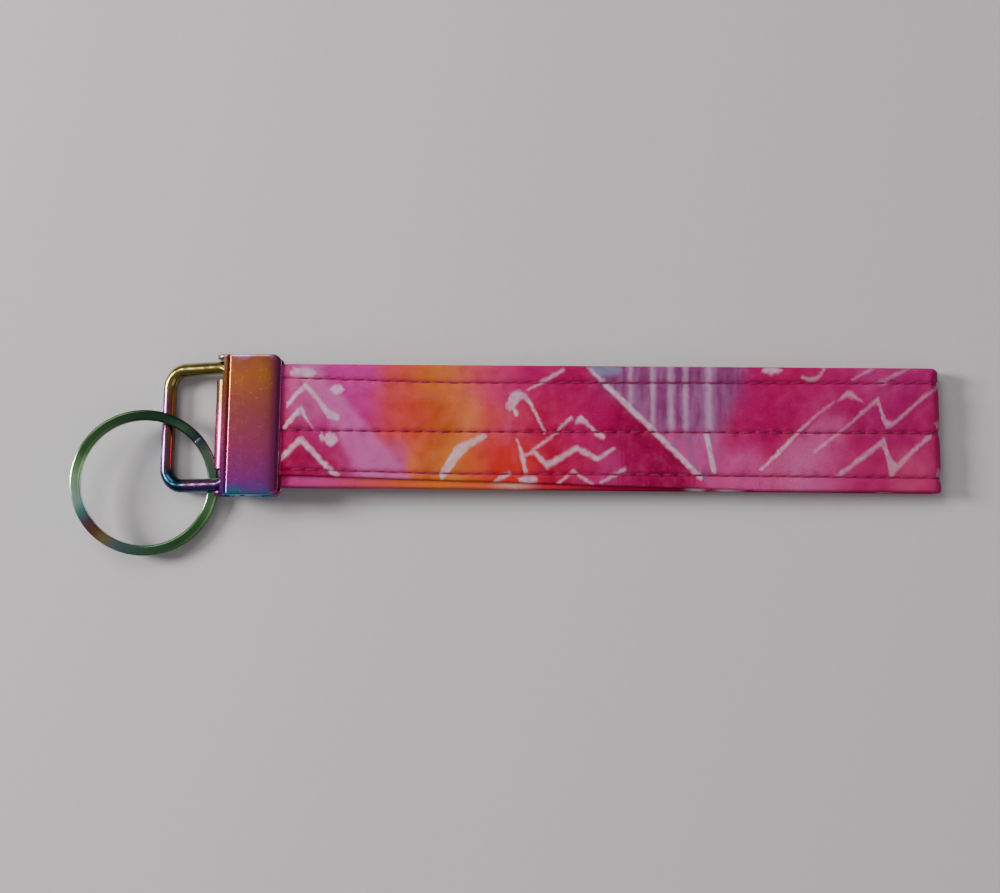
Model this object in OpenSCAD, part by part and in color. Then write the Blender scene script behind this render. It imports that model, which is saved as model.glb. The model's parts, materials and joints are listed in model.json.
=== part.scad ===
// Wristlet keychain: a stitched cotton strap folded into a wrist loop and crimped in a metal
// clamp, which holds a swinging wire loop and a two-turn split ring. Millimetres, +Z up.
// It lies on z = 0 with its long way along X, the clamp at the low end and the fold at the high
// end, and the origin is under the middle of its own box.

/* [Strap] */
// Width of the folded and stitched strap
strap_w = 23.6; // [22:0.2:25.4]
// Length of the wrist loop, from the clamp's mouth to the fold
strap_len = 124.4; // [90:0.2:160]
// Thickness of one half: cotton, core, cotton
half_t = 2; // [1.8:0.1:2.2]
// Thickness of the doubled cotton on each face
cotton_t = 0.5; // [0.45:0.05:0.55]
// Distance of the outer stitch rows from the strap's edges
row_inset = 2.9; // [2.5:0.1:5]
// How far the middle stitch row lies from the strap's centre, towards the open edge
middle_row_shift = 0.9; // [0:0.1:1.5]
// Thickness of the topstitching thread
thread_d = 0.4; // [0.3:0.05:0.4]
// How far the open folded edge of the upper face stands back beside the clamp
edge_setback = 2.2; // [0:0.1:2.4]

/* [Clamp] */
// Depth of the clamp, from its nose to its mouth
clamp_depth = 12.3; // [11.5:0.1:14]
// Width of the clamp across the strap
clamp_w = 27; // [26.6:0.2:30]
// Thickness of the closed clamp
clamp_t = 5.2; // [5:0.1:5.6]
// Height of the swinging loop's pivot above the surface that the object lies on
pivot_h = 5.25; // [5.25:0.05:5.6]

/* [Wire loop] */
// Thickness of the loop's wire
wire_d = 2.6; // [2.4:0.1:2.6]
// Outer width of the loop
loop_w = 25.3; // [24.6:0.1:25.5]
// Distance from the pivot to the middle of the loop's far bar
loop_reach = 13.5; // [13.3:0.1:14]

/* [Split ring] */
// Outer diameter of the split ring
ring_d = 28; // [26:0.5:28]
// Thickness of each of its two turns
turn_t = 1; // [0.9:0.05:1]

/* [Hidden] */
$fn = 48;

gap = 0.05;                 // clearance between neighbouring pieces
run_gap = 0.08;             // running clearance of the pivot bar in its pocket

// Clamp
pivot_x = 2.6;              // pivot behind the nose's front face
nose_r = 2;                 // rounding of the nose's upper and lower edge
plate_t = 1.05;             // sheet thickness at the flat plates
neck_x = 4.5;               // where the sheet pinches in behind the pocket
neck_gap = 1.4;
mouth_gap = 3.1;            // opening between the lips
lip_drop = 0.5;             // how far the lips curve in
cheek_t = 0.6;              // metal left outside each leg notch
notch_w = 4.4;
swing_up = 40;              // loop's highest angle above the clamp's mid-plane
groove_r = 0.5;
groove_depth = 0.22;
corner_r = 2;               // plan corners of the plates at the mouth

// Wire loop
wire_r = wire_d / 2;
leg_y = loop_w / 2 - wire_r;
far_bend = 3.6;             // centre-line radius of the two outer corners
near_bend = 2.2;            // and of the two hidden in the nose
floor_gap = 0.03;
loop_droop = asin((pivot_h - wire_r - floor_gap) / loop_reach);

// Split ring: two turns, leaning so that it passes over the far bar and under one leg
ring_band = 2;
ring_mid_r = (ring_d - ring_band) / 2;
ring_x = 0.1 - ring_d / 2;
ring_y = -10.9;
ring_slope = 0.18;
ring_high_side = 154.2;     // direction in which the ring rises, from +X
ring_tilt = atan(ring_slope);
turn_gap = 0.04;
turn_step = turn_t + turn_gap;
ring_z = floor_gap + turn_t + turn_gap / 2 + ring_slope * ring_d / 2;
ramp_from = 41;             // where the upper turn is cut and the wire starts to climb
ramp_to = 80;               // where the lower turn is cut and the wire has climbed
turn_steps = 54;
edge_round = 0.46;

// Strap: everything is drawn along its own mid-plane, from the hinge line at the mouth
hinge_x = clamp_depth + 0.7;
face_z = half_t + gap;
strap_droop = asin((pivot_h - face_z) / (strap_len - face_z));
mid_len = strap_len / 2;
row_y = strap_w / 2 - row_inset;
rows = [-row_y, -middle_row_shift, row_y];
core_t = half_t - 2 * cotton_t - 2 * gap;
core_w = strap_w - 2;
thread_r = thread_d / 2;
opening_angle = 60;
bevel_len = face_z * tan(opening_angle) + 0.15;
setback_run = 0.72 * strap_len;
setback_step = 0.9;
tail_from = 5.3;
tail_t = mouth_gap / 2 - 2 * gap;

// Middle of the whole object's box, from the nose's front face
function lean(dir) = sin(ring_tilt) * cos(dir);
function ring_reach(dir) =
    ring_d / 2 * sqrt(1 - pow(lean(dir), 2)) + (turn_t + turn_gap / 2) * abs(lean(dir));
min_x = ring_x - ring_reach(ring_high_side);
max_x = hinge_x + (strap_len - face_z) * cos(strap_droop) + face_z;
min_y = ring_y - ring_reach(ring_high_side - 90);
mid_x = (min_x + max_x) / 2;
mid_y = (min_y + clamp_w / 2) / 2;

module at_origin() { translate([-mid_x, -mid_y, 0]) children(); }
module at_pivot() { at_origin() translate([pivot_x, 0, pivot_h]) children(); }
module at_strap() { at_origin() translate([hinge_x, 0, pivot_h]) rotate([0, strap_droop, 0]) children(); }

// A profile in the XZ plane, drawn out evenly to both sides of y = 0
module across(w) { rotate([90, 0, 0]) linear_extrude(w, center = true) children(); }
// A section in the YZ plane, drawn out along X
module along(len) { rotate([90, 0, 90]) linear_extrude(len) children(); }

// ---- Clamp ----
// Side view of the closed sheet, with the pivot at the origin
module clamp_profile() {
    front = -pivot_x;
    back = clamp_depth - pivot_x;
    half = clamp_t / 2;
    difference() {
        union() {
            translate([front + nose_r, -half]) square([back - front - nose_r - lip_drop, clamp_t]);
            translate([front, nose_r - half]) square([nose_r + 1, clamp_t - 2 * nose_r]);
            for (s = [-1, 1]) translate([front + nose_r, s * (half - nose_r)]) circle(nose_r);
            // lips that curve in at the mouth
            for (s = [-1, 1]) translate([back - plate_t / 2 - 0.1, s * (half - plate_t / 2 - 0.3)])
                circle(plate_t / 2 + 0.1);
        }
        // pocket of the pivot bar, neck and strap cavity
        circle(wire_r + run_gap);
        translate([0, -neck_gap / 2]) square([neck_x, neck_gap]);
        translate([tail_from - pivot_x - 0.6, plate_t - half]) square([6.2, clamp_t - 2 * plate_t]);
        translate([tail_from - pivot_x, -mouth_gap / 2]) square([back, mouth_gap]);
        // crease behind the nose bead
        for (s = [-1, 1]) translate([-0.3, s * (half + groove_r - groove_depth)]) circle(groove_r);
    }
}

// Space that a leg sweeps between its lowest and its highest angle
module leg_sweep() {
    r = wire_r + run_gap;
    reach = pivot_x + 4;
    low = loop_droop;
    high = swing_up;
    polygon([
        r * [sin(low), -cos(low)],
        r * [sin(low), -cos(low)] - reach * [cos(low), sin(low)],
        r * [sin(high), cos(high)] - reach * [cos(high), -sin(high)],
        r * [sin(high), cos(high)]
    ]);
}

module crimp_clamp() {
    notch_y = clamp_w / 2 - cheek_t - notch_w / 2;
    color([0.62, 0.33, 0.42]) at_pivot() difference() {
        across(clamp_w) clamp_profile();
        for (s = [-1, 1]) translate([0, s * notch_y, 0]) across(notch_w) leg_sweep();
        // rounded plan corners at the mouth
        for (s = [-1, 1]) translate([clamp_depth - pivot_x - corner_r, s * (clamp_w / 2 - corner_r), 0])
            difference() {
                translate([0, s > 0 ? 0 : -corner_r - 1, -clamp_t])
                    cube([corner_r + 1, corner_r + 1, 2 * clamp_t]);
                cylinder(h = 4 * clamp_t, r = corner_r, center = true);
            }
    }
}

// ---- Wire loop: a round wire bent to a rectangle, its fourth side in the clamp's pocket ----
module wire(from_x, from_y, turn, len) {
    translate([from_x, from_y, 0]) rotate([0, 90, turn]) cylinder(h = len, r = wire_r);
}
module bend(x, y, start, r) {
    translate([x, y, 0]) rotate([0, 0, start]) rotate_extrude(angle = 90) translate([r, 0]) circle(wire_r);
}
module wire_loop() {
    far = loop_reach;
    color([0.55, 0.45, 0.55]) at_pivot() rotate([0, -loop_droop, 0]) union() {
        wire(-far, far_bend - leg_y, 90, 2 * (leg_y - far_bend));
        wire(0, near_bend - leg_y, 90, 2 * (leg_y - near_bend));
        for (s = [-1, 1]) wire(far_bend - far, s * leg_y, 0, far - far_bend - near_bend);
        bend(far_bend - far, leg_y - far_bend, 90, far_bend);
        bend(far_bend - far, far_bend - leg_y, 180, far_bend);
        bend(-near_bend, leg_y - near_bend, 0, near_bend);
        bend(-near_bend, near_bend - leg_y, 270, near_bend);
    }
}

// ---- Split ring: one flat wire wound twice, climbing from the lower to the upper turn ----
wound = 720 - (ramp_to - ramp_from);
function smooth(t) = t <= 0 ? 0 : t >= 1 ? 1 : t * t * (3 - 2 * t);
function climb(a) = turn_step * (smooth((a - 360 - ramp_from) / (ramp_to - ramp_from)) - 0.5);
ring_section = [
    for (c = [[1, 1], [-1, 1], [-1, -1], [1, -1]], k = [0:2])
        let (a = (c[0] > 0 ? (c[1] > 0 ? 0 : 270) : (c[1] > 0 ? 90 : 180)) + 45 * k)
            [c[0] * (ring_band / 2 - edge_round) + edge_round * cos(a),
             c[1] * (turn_t / 2 - edge_round) + edge_round * sin(a)]
];
module split_ring() {
    n = len(ring_section);
    steps = 2 * turn_steps;
    points = [
        for (i = [0:steps], p = ring_section)
            let (a = ramp_to + wound * i / steps, r = ring_mid_r + p[0])
                [r * cos(a), r * sin(a), climb(a) + p[1]]
    ];
    sides = [
        for (i = [0:steps - 1], j = [0:n - 1])
            [i * n + j, i * n + (j + 1) % n, (i + 1) * n + (j + 1) % n, (i + 1) * n + j]
    ];
    ends = [[for (j = [n - 1:-1:0]) j], [for (j = [0:n - 1]) steps * n + j]];
    color([0.3, 0.55, 0.3]) at_origin() translate([ring_x, ring_y, ring_z])
        rotate([0, 0, ring_high_side]) rotate([0, -ring_tilt, 0]) rotate([0, 0, -ring_high_side])
            polyhedron(points, concat(sides, ends));
}

// ---- Strap: two stitched halves, each in two lengths that hinge half-way along the loop ----
// up = 1 is the upper half and -1 the lower; from and to run along the strap from the mouth
module cover_section() {
    r = half_t / 2;
    difference() {
        translate([0, gap + r]) union() {
            square([strap_w - half_t, half_t], center = true);
            for (s = [-1, 1]) translate([s * (strap_w / 2 - r), 0]) circle(r);
        }
        translate([-core_w / 2 - gap, gap + cotton_t])
            square([core_w + 2 * gap, half_t - 2 * cotton_t]);
        for (y = rows, z = [thread_r, half_t - thread_r])
            translate([y, gap + z]) circle(thread_r + gap);
    }
}

module half_side(up) { if (up > 0) children(); else mirror([0, 0, 1]) children(); }

// Open folded edge of the upper face: it stands back beside the clamp and closes along the strap
module setback_cut() {
    translate([0, edge_setback - strap_w / 2, face_z - setback_step])
        rotate([0, 0, -atan(edge_setback / setback_run)])
            translate([-5, -6, 0]) cube([setback_run + 5, 6, 2]);
}

module cover(from, to) {
    difference() {
        translate([from, 0, 0]) along(to - from) cover_section();
        children();
    }
}
module mouth_bevel() {
    across(strap_w + 2) polygon([[-1, -1], [gap, -1], [gap, 0], [bevel_len, face_z], [bevel_len, 4], [-1, 4]]);
}
module fold_round() {
    across(strap_w + 2) difference() {
        translate([strap_len - face_z, -1]) square([face_z + 1, face_z + 2]);
        translate([strap_len - face_z, 0]) circle(face_z);
    }
}
module core(from, to) {
    translate([from, -core_w / 2, face_z - half_t / 2 - core_t / 2]) cube([to - from, core_w, core_t]);
}
module threads(from, to, z) {
    for (y = rows) translate([from, y, z]) rotate([0, 90, 0]) cylinder(h = to - from, r = thread_r);
}
module needle_threads(from, to) { threads(from, to, face_z - thread_r); }
module bobbin_threads(from, to) { threads(from, to, gap + thread_r); }

cotton = [0.75, 0.12, 0.4];
core_white = [0.92, 0.9, 0.86];
thread_red = [0.45, 0.03, 0.2];

// Tails of the strap, pressed flat between the clamp's plates
tail_len = hinge_x - tail_from - gap;
tail_cotton = 0.4;
module cover_tail() {
    difference() {
        translate([tail_from - pivot_x, -strap_w / 2, gap]) cube([tail_len, strap_w, tail_t]);
        translate([0, -core_w / 2, gap + tail_cotton]) cube([hinge_x, core_w, tail_t - 2 * tail_cotton]);
    }
}
module core_tail() {
    translate([tail_from - pivot_x, gap - core_w / 2, gap + tail_cotton + gap / 2])
        cube([tail_len, core_w - 2 * gap, tail_t - 2 * tail_cotton - gap]);
}
module cover_upper_tail() { color(cotton) at_pivot() cover_tail(); }
module core_upper_tail() { color(core_white) at_pivot() core_tail(); }
module cover_lower_tail() { color(cotton) at_pivot() half_side(-1) cover_tail(); }
module core_lower_tail() { color(core_white) at_pivot() half_side(-1) core_tail(); }

// Lower half beside the clamp: it stays in line with the clamp as the loop opens
module cover_lower_near() { color(cotton) at_strap() half_side(-1) cover(gap, mid_len - gap); }
module core_lower_near() { color(core_white) at_strap() half_side(-1) core(2 * gap, mid_len - gap); }
module needle_thread_lower_near() {
    color(thread_red) at_strap() half_side(-1) needle_threads(1, mid_len - gap);
}
module bobbin_thread_lower_near() {
    color(thread_red) at_strap() half_side(-1) bobbin_threads(1, mid_len - gap);
}

// Upper half beside the clamp: lifts at the mouth
module cover_upper_near() {
    color(cotton) at_strap() cover(0, mid_len - gap) { mouth_bevel(); setback_cut(); }
}
module core_upper_near() {
    color(core_white) at_strap() difference() { core(0.6, mid_len - gap); mouth_bevel(); }
}
module needle_thread_upper_near() {
    color(thread_red) at_strap() needle_threads(bevel_len, mid_len - gap);
}
module bobbin_thread_upper_near() { color(thread_red) at_strap() bobbin_threads(1, mid_len - gap); }

// Far lengths, which meet at the fold
module cover_upper_far() {
    color(cotton) at_strap() cover(mid_len + gap, strap_len) { fold_round(); setback_cut(); }
}
module cover_lower_far() {
    color(cotton) at_strap() half_side(-1) cover(mid_len + gap, strap_len) fold_round();
}
module core_upper_far() { color(core_white) at_strap() core(mid_len + gap, strap_len - 1); }
module core_lower_far() { color(core_white) at_strap() half_side(-1) core(mid_len + gap, strap_len - 1); }
module needle_thread_upper_far() {
    color(thread_red) at_strap() needle_threads(mid_len + gap, strap_len - face_z);
}
module needle_thread_lower_far() {
    color(thread_red) at_strap() half_side(-1) needle_threads(mid_len + gap, strap_len - face_z);
}
module bobbin_thread_upper_far() {
    color(thread_red) at_strap() bobbin_threads(mid_len + gap, strap_len - 1);
}
module bobbin_thread_lower_far() {
    color(thread_red) at_strap() half_side(-1) bobbin_threads(mid_len + gap, strap_len - 1);
}

crimp_clamp();
wire_loop();
split_ring();
cover_upper_tail();
core_upper_tail();
cover_lower_tail();
core_lower_tail();
cover_lower_near();
core_lower_near();
needle_thread_lower_near();
bobbin_thread_lower_near();
cover_upper_near();
core_upper_near();
needle_thread_upper_near();
bobbin_thread_upper_near();
cover_upper_far();
core_upper_far();
needle_thread_upper_far();
bobbin_thread_upper_far();
cover_lower_far();
core_lower_far();
needle_thread_lower_far();
bobbin_thread_lower_far();
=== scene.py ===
"""Wristlet keychain: stitched cotton wrist loop, crimp clamp, swinging wire loop and split ring."""

import json
import math

import bmesh
import bpy
import numpy as np
from mathutils import Matrix, Vector

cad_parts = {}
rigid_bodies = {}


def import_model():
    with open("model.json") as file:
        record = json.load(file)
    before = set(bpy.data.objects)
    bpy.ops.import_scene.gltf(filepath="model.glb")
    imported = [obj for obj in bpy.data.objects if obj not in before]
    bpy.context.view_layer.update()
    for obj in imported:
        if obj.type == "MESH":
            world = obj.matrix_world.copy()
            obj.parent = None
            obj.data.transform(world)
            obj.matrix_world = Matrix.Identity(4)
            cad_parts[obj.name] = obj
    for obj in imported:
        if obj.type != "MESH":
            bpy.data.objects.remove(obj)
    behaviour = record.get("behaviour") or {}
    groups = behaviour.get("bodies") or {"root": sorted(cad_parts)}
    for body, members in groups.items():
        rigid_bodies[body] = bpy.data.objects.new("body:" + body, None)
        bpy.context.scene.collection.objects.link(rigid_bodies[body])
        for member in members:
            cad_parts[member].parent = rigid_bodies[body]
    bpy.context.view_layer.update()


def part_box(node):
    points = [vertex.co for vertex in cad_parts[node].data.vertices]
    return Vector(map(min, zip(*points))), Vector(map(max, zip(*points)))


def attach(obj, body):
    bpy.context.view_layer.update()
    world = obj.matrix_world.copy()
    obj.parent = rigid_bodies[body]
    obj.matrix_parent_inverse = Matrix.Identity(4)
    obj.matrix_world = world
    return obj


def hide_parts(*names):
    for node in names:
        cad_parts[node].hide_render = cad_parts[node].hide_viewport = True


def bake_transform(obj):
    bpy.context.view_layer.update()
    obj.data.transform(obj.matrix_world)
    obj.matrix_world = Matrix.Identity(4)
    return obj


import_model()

MM = 0.001

# ---------------------------------------------------------------- measures, in millimetres
STRAP_W = 23.6            # width of the strap
STRAP_LEN = 124.4         # from the clamp's mouth to the fold
FACE_Z = 2.05             # outer face of one half above the strap's mid-plane
INNER_Z = 0.2             # inner face of one half
HINGE_X = 13.0            # the strap's hinge line behind the nose
PIVOT_H = 5.25            # the clamp's mid-plane above the floor
PIVOT_X = 2.6             # pivot of the wire loop behind the nose
FOLD_U = STRAP_LEN - FACE_Z
FOLD_ARC = math.pi * FACE_Z
STRAP_DROOP = math.asin((PIVOT_H - FACE_Z) / FOLD_U)
BACK_FROM = FOLD_U + FOLD_ARC          # where the lower half starts, counted along the strap
TAIL_U = -7.6             # end of the tail between the clamp's plates
PITCH = 2.6               # stitch length
PRINT_LEN = 130.0         # the print repeats after this length

clamp_low, clamp_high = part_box("crimp_clamp")
ORIGIN = Vector((clamp_low.x, (clamp_low.y + clamp_high.y) / 2, 0))


def at(x, y, z):
    """Millimetres from the clamp's nose, its centre line and the floor, as a point of the row frame."""
    return ORIGIN + Vector((x, y, z)) * MM


def strap_point(u, v=0.0, z=0.0):
    """A point u along the strap, v across it and z above its mid-plane, in the row frame."""
    c, s = math.cos(STRAP_DROOP), math.sin(STRAP_DROOP)
    return at(HINGE_X + u * c + z * s, v, PIVOT_H - u * s + z * c)


# ---------------------------------------------------------------- mesh helpers
def new_object(name, points, faces, uvs=None, smooth=True):
    """A mesh object from metre points; uvs holds one pair for each corner of each face."""
    mesh = bpy.data.meshes.new(name)
    mesh.from_pydata([tuple(p) for p in points], [], [tuple(f) for f in faces])
    if uvs is not None:
        layer = mesh.uv_layers.new(name="Flat")
        layer.data.foreach_set("uv", np.asarray(uvs, np.float32).ravel())
    mesh.polygons.foreach_set("use_smooth", [smooth] * len(mesh.polygons))
    mesh.update()
    obj = bpy.data.objects.new(name, mesh)
    bpy.context.scene.collection.objects.link(obj)
    return obj


def sharpen(obj, degrees):
    """Edges steeper than this stay crisp on a smooth mesh."""
    bm = bmesh.new()
    bm.from_mesh(obj.data)
    for edge in bm.edges:
        edge.smooth = len(edge.link_faces) == 2 and edge.calc_face_angle(0.0) < math.radians(degrees)
    bm.to_mesh(obj.data)
    bm.free()


def swept(name, rings, uv_along, uv_round, closed=False):
    """A skin over rings of points. uv_along has one value per ring and uv_round one per ring corner."""
    rings = np.asarray(rings, float)
    count, size = rings.shape[:2]
    faces, uvs = [], []
    for i in range(count if closed else count - 1):
        k = (i + 1) % count
        for j in range(size):
            m = (j + 1) % size
            faces.append((i * size + j, i * size + m, k * size + m, k * size + j))
            a, b = uv_along[i], uv_along[i + 1]
            c, d = uv_round[j], uv_round[j + 1]
            uvs += [(a, c), (a, d), (b, d), (b, c)]
    if not closed:
        for row, ring in ((0, range(size - 1, -1, -1)), (count - 1, range(size))):
            faces.append([row * size + j for j in ring])
            uvs += [(uv_along[row], uv_round[j]) for j in ring]
    return new_object(name, rings.reshape(-1, 3), faces, uvs)


def turn_outwards(obj):
    """Face normals all point out of the closed shells."""
    bm = bmesh.new()
    bm.from_mesh(obj.data)
    bmesh.ops.recalc_face_normals(bm, faces=bm.faces)
    bm.to_mesh(obj.data)
    bm.free()


def smoothstep(x, low, high):
    t = np.clip((np.asarray(x, float) - low) / (high - low), 0, 1)
    return t * t * (3 - 2 * t)


# ---------------------------------------------------------------- node helpers
def rgb(r, g, b, gain=1.0):
    """Linear colour for 0 to 255 display values."""
    def linear(c):
        c = c / 255
        return (c / 12.92 if c <= 0.04045 else ((c + 0.055) / 1.055) ** 2.4) * gain
    return (linear(r), linear(g), linear(b), 1.0)


class Nodes:
    """Short forms for building one material's node tree."""

    def __init__(self, name):
        self.material = bpy.data.materials.new(name)
        self.material.use_nodes = True
        self.tree = self.material.node_tree
        self.tree.nodes.clear()
        self.output = self.add("ShaderNodeOutputMaterial")
        self.bsdf = self.add("ShaderNodeBsdfPrincipled")
        self.link(self.bsdf.outputs[0], self.output.inputs[0])

    def add(self, kind, **settings):
        node = self.tree.nodes.new(kind)
        for key, value in settings.items():
            setattr(node, key, value)
        return node

    def link(self, source, target):
        self.tree.links.new(source, target)

    def put(self, socket, value):
        if isinstance(value, bpy.types.NodeSocket):
            self.link(value, socket)
        elif value is not None:
            socket.default_value = value

    def set(self, **values):
        for key, value in values.items():
            self.put(self.bsdf.inputs[key.replace("_", " ")], value)

    def math(self, operation, a, b=None, c=None, clamp=False):
        node = self.add("ShaderNodeMath", operation=operation, use_clamp=clamp)
        for socket, value in zip(node.inputs, (a, b, c)):
            self.put(socket, value)
        return node.outputs[0]

    def mix(self, factor, a, b, blend="MIX"):
        node = self.add("ShaderNodeMix", data_type="RGBA", blend_type=blend)
        self.put(node.inputs[0], factor)
        self.put(node.inputs[6], a)
        self.put(node.inputs[7], b)
        return node.outputs[2]

    def ramp(self, factor, stops, interpolation="EASE"):
        node = self.add("ShaderNodeValToRGB")
        node.color_ramp.interpolation = interpolation
        elements = node.color_ramp.elements
        for k, (place, colour) in enumerate(sorted(stops, key=lambda s: s[0])):
            element = elements[k] if k < 2 else elements.new(place)
            element.position, element.color = place, colour
        self.put(node.inputs[0], factor)
        return node.outputs[0]

    def curve(self, value, points):
        """A piecewise straight function of a 0 to 1 value."""
        node = self.add("ShaderNodeFloatCurve")
        line = node.mapping.curves[0]
        points = sorted(points)
        line.points[0].location, line.points[1].location = points[0], points[-1]
        for x, y in points[1:-1]:
            line.points.new(x, y)
        for point in line.points:
            point.handle_type = "VECTOR"
        node.mapping.update()
        self.put(node.inputs[1], value)
        return node.outputs[0]

    def smooth(self, value, low, high):
        node = self.add("ShaderNodeMapRange", interpolation_type="SMOOTHSTEP")
        for socket, v in zip(node.inputs, (value, low, high, 0.0, 1.0)):
            self.put(socket, v)
        return node.outputs[0]

    def noise(self, vector, scale, detail=2.0, colour=False):
        node = self.add("ShaderNodeTexNoise")
        self.put(node.inputs["Vector"], vector)
        node.inputs["Scale"].default_value = scale
        node.inputs["Detail"].default_value = detail
        return node.outputs["Color" if colour else "Fac"]

    def split(self, vector):
        node = self.add("ShaderNodeSeparateXYZ")
        self.put(node.inputs[0], vector)
        return node.outputs

    def join(self, x, y, z=0.0):
        node = self.add("ShaderNodeCombineXYZ")
        for socket, value in zip(node.inputs, (x, y, z)):
            self.put(socket, value)
        return node.outputs[0]

    def bump(self, height, strength, distance):
        node = self.add("ShaderNodeBump")
        node.inputs["Strength"].default_value = strength
        node.inputs["Distance"].default_value = distance * MM
        self.put(node.inputs["Height"], height)
        self.link(node.outputs[0], self.bsdf.inputs["Normal"])

    def flat(self):
        return self.add("ShaderNodeUVMap", uv_map="Flat").outputs[0]


# ---------------------------------------------------------------- the printed cotton
PRINT_GAIN = 1.05
YARN = 0.5                # spacing of the woven yarns


def cloth(*stops):
    """Stops of (millimetres along the strap, r, g, b) as a ramp over the print's length."""
    return [(u / PRINT_LEN, rgb(r, g, b, PRINT_GAIN)) for u, r, g, b in stops]


# The first stop of each band, at the clamp's mouth, is darker: painted shade where the clamp's end shades
# the strap.
NORTH = cloth(
    (0, 160, 38, 102), (2, 182, 66, 128), (4, 194, 86, 150), (10, 192, 58, 148), (16, 198, 66, 148),
    (20, 204, 78, 92),
    (24, 204, 92, 68), (28, 202, 116, 58), (33, 208, 118, 78), (37, 208, 86, 104), (41, 200, 62, 118),
    (46, 186, 32, 108), (52, 176, 24, 100), (58, 172, 20, 94), (62, 160, 60, 120), (86, 152, 50, 122),
    (89, 172, 28, 106), (95, 178, 22, 96), (101, 180, 34, 108), (107, 180, 32, 110), (112, 182, 60, 126),
    (118, 170, 38, 112), (124, 184, 46, 120), (129, 184, 50, 124))
MIDDLE = cloth(
    (0, 144, 14, 78), (2.5, 168, 34, 102), (6, 176, 48, 118), (11, 190, 64, 142), (16, 192, 50, 132),
    (20, 204, 74, 90),
    (25, 202, 80, 62), (29, 192, 92, 52), (32, 198, 104, 52), (36, 212, 124, 84), (39, 204, 80, 84),
    (43, 202, 76, 112), (47, 188, 42, 88), (51, 178, 24, 84), (56, 184, 32, 104), (61, 172, 16, 92),
    (66, 156, 10, 78), (72, 158, 14, 80), (80, 180, 40, 104), (88, 178, 24, 104), (92, 172, 18, 94),
    (97, 178, 30, 102), (102, 184, 54, 118), (108, 168, 22, 96), (113, 172, 38, 110), (118, 168, 28, 102),
    (124, 180, 46, 106))
SOUTH = cloth(
    (0, 142, 10, 68), (2.5, 162, 20, 84), (10, 168, 32, 98), (14, 190, 80, 142), (22, 194, 90, 146),
    (25, 212, 114, 68),
    (28, 196, 104, 54), (33, 208, 130, 66), (36, 208, 102, 58), (40, 202, 62, 56), (45, 204, 56, 52),
    (49, 184, 34, 68), (53, 178, 28, 74), (58, 180, 34, 98), (62, 182, 56, 124), (66, 172, 28, 94),
    (70, 158, 16, 82), (76, 160, 22, 82), (80, 188, 56, 118), (85, 198, 88, 148), (89, 194, 76, 138),
    (93, 184, 38, 98), (97, 196, 96, 150), (103, 192, 80, 136), (108, 182, 46, 112), (113, 176, 42, 106),
    (118, 192, 74, 120), (124, 184, 50, 110))
STRIP = cloth(
    (0, 184, 50, 120), (6, 190, 70, 140), (14, 198, 78, 108), (22, 204, 98, 70), (30, 208, 118, 60),
    (38, 212, 108, 70), (44, 216, 158, 150), (50, 198, 58, 80), (60, 168, 30, 70), (75, 148, 14, 60),
    (77.5, 200, 190, 196), (79.5, 200, 190, 196), (81, 148, 20, 70), (83, 202, 192, 198),
    (85, 202, 192, 198), (88, 158, 30, 80), (100, 172, 40, 100), (112, 174, 40, 100), (113, 200, 180, 190),
    (114.5, 172, 40, 100), (124, 164, 30, 90))


# Where the three stitch rows run: (along, across)
ROW_PLACES = [
    [(0, 9.1), (32, 8.35), (60, 8.5), (124, 8.85), (252, 8.9)],
    [(0, -1.05), (32, -1.1), (60, -.95), (124, -.65), (252, -.9)],
    [(0, -8.6), (8, -8.65), (32, -9.1), (60, -9.0), (124, -9.15), (252, -8.9)],
]


def blob(u, v, a, b):
    """A round dab as a stroke: centre, half length and half width."""
    return [(u - a, v, 0.05), (u - 0.7 * a, v, 0.7 * b), (u, v, b), (u + 0.7 * a, v, 0.7 * b),
            (u + a, v, 0.05)]


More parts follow.
